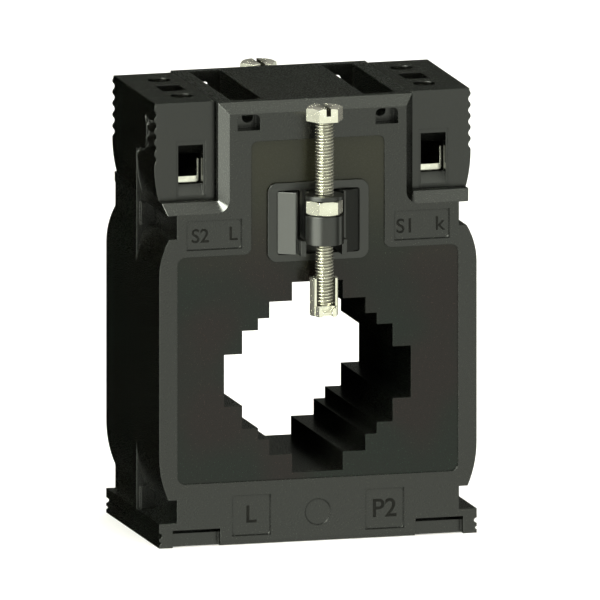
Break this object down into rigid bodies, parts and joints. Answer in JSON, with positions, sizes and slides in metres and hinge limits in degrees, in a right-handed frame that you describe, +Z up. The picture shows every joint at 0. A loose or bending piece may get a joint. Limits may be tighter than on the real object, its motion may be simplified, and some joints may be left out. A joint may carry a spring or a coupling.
{
  "type": "window current transformer",
  "caption": "Moulded window current transformer with a stepped opening for a cable or bus bar, two terminal blocks and bar fixing screws.",
  "frame": {"origin": "centre of the base, on the surface it stands on", "axes": "+X to the right seen from the marked face, +Y to the back along the window, +Z up"},
  "size_m": [0.07, 0.0616, 0.0955],
  "materials": {
    "case": "satin black moulded plastic",
    "terminal_block": "satin black moulded plastic",
    "steel": "bright zinc plate",
    "brass": "plain brass",
    "copper": "enamelled copper wire",
    "core_steel": "strip-wound electrical steel",
    "insulation": "pale insulating film"
  },
  "bodies": {
    "housing": {"front_shell": "case", "rear_shell": "case", "terminal_block_left": "terminal_block", "terminal_block_right": "terminal_block", "bus_bar_left": "brass", "bus_bar_right": "brass", "wire_saddle_left_front": "steel", "wire_saddle_left_rear": "steel", "wire_saddle_right_front": "steel", "wire_saddle_right_rear": "steel", "screw_holder_front": "case", "screw_holder_rear": "case", "hex_nut_front": "steel", "hex_nut_rear": "steel", "core": "core_steel", "core_cap_front": "insulation", "core_cap_rear": "insulation", "secondary_winding": "copper", "winding_tape": "insulation", "lead_left": "copper", "lead_right": "copper"},
    "pressure_shoe_front": {"pressure_shoe_front": "steel"},
    "fixing_screw_front": {"fixing_screw_front": "steel"},
    "pressure_shoe_rear": {"pressure_shoe_rear": "steel"},
    "fixing_screw_rear": {"fixing_screw_rear": "steel"},
    "pressure_plate_left_front": {"pressure_plate_left_front": "steel"},
    "terminal_screw_left_front": {"terminal_screw_left_front": "steel"},
    "pressure_plate_left_rear": {"pressure_plate_left_rear": "steel"},
    "terminal_screw_left_rear": {"terminal_screw_left_rear": "steel"},
    "pressure_plate_right_front": {"pressure_plate_right_front": "steel"},
    "terminal_screw_right_front": {"terminal_screw_right_front": "steel"},
    "pressure_plate_right_rear": {"pressure_plate_right_rear": "steel"},
    "terminal_screw_right_rear": {"terminal_screw_right_rear": "steel"}
  },
  "joints": [
    {"name": "pressure_shoe_front_travel", "type": "slide", "parent": "housing", "child": "pressure_shoe_front", "axis": [0, 0, 1], "range_m": [-0.0154, 0.0042]},
    {"name": "fixing_screw_front_turn", "type": "hinge", "parent": "pressure_shoe_front", "child": "fixing_screw_front", "pos_m": [0, -0.0267, 0.052], "axis": [0, 0, 1], "range_deg": [-7921, 2161]},
    {"name": "pressure_shoe_rear_travel", "type": "slide", "parent": "housing", "child": "pressure_shoe_rear", "axis": [0, 0, 1], "range_m": [-0.0154, 0.0042]},
    {"name": "fixing_screw_rear_turn", "type": "hinge", "parent": "pressure_shoe_rear", "child": "fixing_screw_rear", "pos_m": [0, 0.0267, 0.052], "axis": [0, 0, 1], "range_deg": [-7921, 2161]},
    {"name": "pressure_plate_left_front_travel", "type": "slide", "parent": "housing", "child": "pressure_plate_left_front", "axis": [0, 0, 1], "range_m": [-0.0035, 0]},
    {"name": "terminal_screw_left_front_turn", "type": "hinge", "parent": "pressure_plate_left_front", "child": "terminal_screw_left_front", "pos_m": [-0.02675, -0.0092, 0.084], "axis": [0, 0, 1], "range_deg": [-2521, 1]},
    {"name": "pressure_plate_left_rear_travel", "type": "slide", "parent": "housing", "child": "pressure_plate_left_rear", "axis": [0, 0, 1], "range_m": [-0.0035, 0]},
    {"name": "terminal_screw_left_rear_turn", "type": "hinge", "parent": "pressure_plate_left_rear", "child": "terminal_screw_left_rear", "pos_m": [-0.02675, 0.0092, 0.084], "axis": [0, 0, 1], "range_deg": [-2521, 1]},
    {"name": "pressure_plate_right_front_travel", "type": "slide", "parent": "housing", "child": "pressure_plate_right_front", "axis": [0, 0, 1], "range_m": [-0.0035, 0]},
    {"name": "terminal_screw_right_front_turn", "type": "hinge", "parent": "pressure_plate_right_front", "child": "terminal_screw_right_front", "pos_m": [0.02675, -0.0092, 0.084], "axis": [0, 0, 1], "range_deg": [-2521, 1]},
    {"name": "pressure_plate_right_rear_travel", "type": "slide", "parent": "housing", "child": "pressure_plate_right_rear", "axis": [0, 0, 1], "range_m": [-0.0035, 0]},
    {"name": "terminal_screw_right_rear_turn", "type": "hinge", "parent": "pressure_plate_right_rear", "child": "terminal_screw_right_rear", "pos_m": [0.02675, 0.0092, 0.084], "axis": [0, 0, 1], "range_deg": [-2521, 1]}
  ],
  "couplings": [
    {"joint": "fixing_screw_front_turn", "follows": "pressure_shoe_front_travel", "rad_per_m": 8976},
    {"joint": "fixing_screw_rear_turn", "follows": "pressure_shoe_rear_travel", "rad_per_m": 8976},
    {"joint": "terminal_screw_left_front_turn", "follows": "pressure_plate_left_front_travel", "rad_per_m": 12566},
    {"joint": "terminal_screw_left_rear_turn", "follows": "pressure_plate_left_rear_travel", "rad_per_m": 12566},
    {"joint": "terminal_screw_right_front_turn", "follows": "pressure_plate_right_front_travel", "rad_per_m": 12566},
    {"joint": "terminal_screw_right_rear_turn", "follows": "pressure_plate_right_rear_travel", "rad_per_m": 12566}
  ]
}
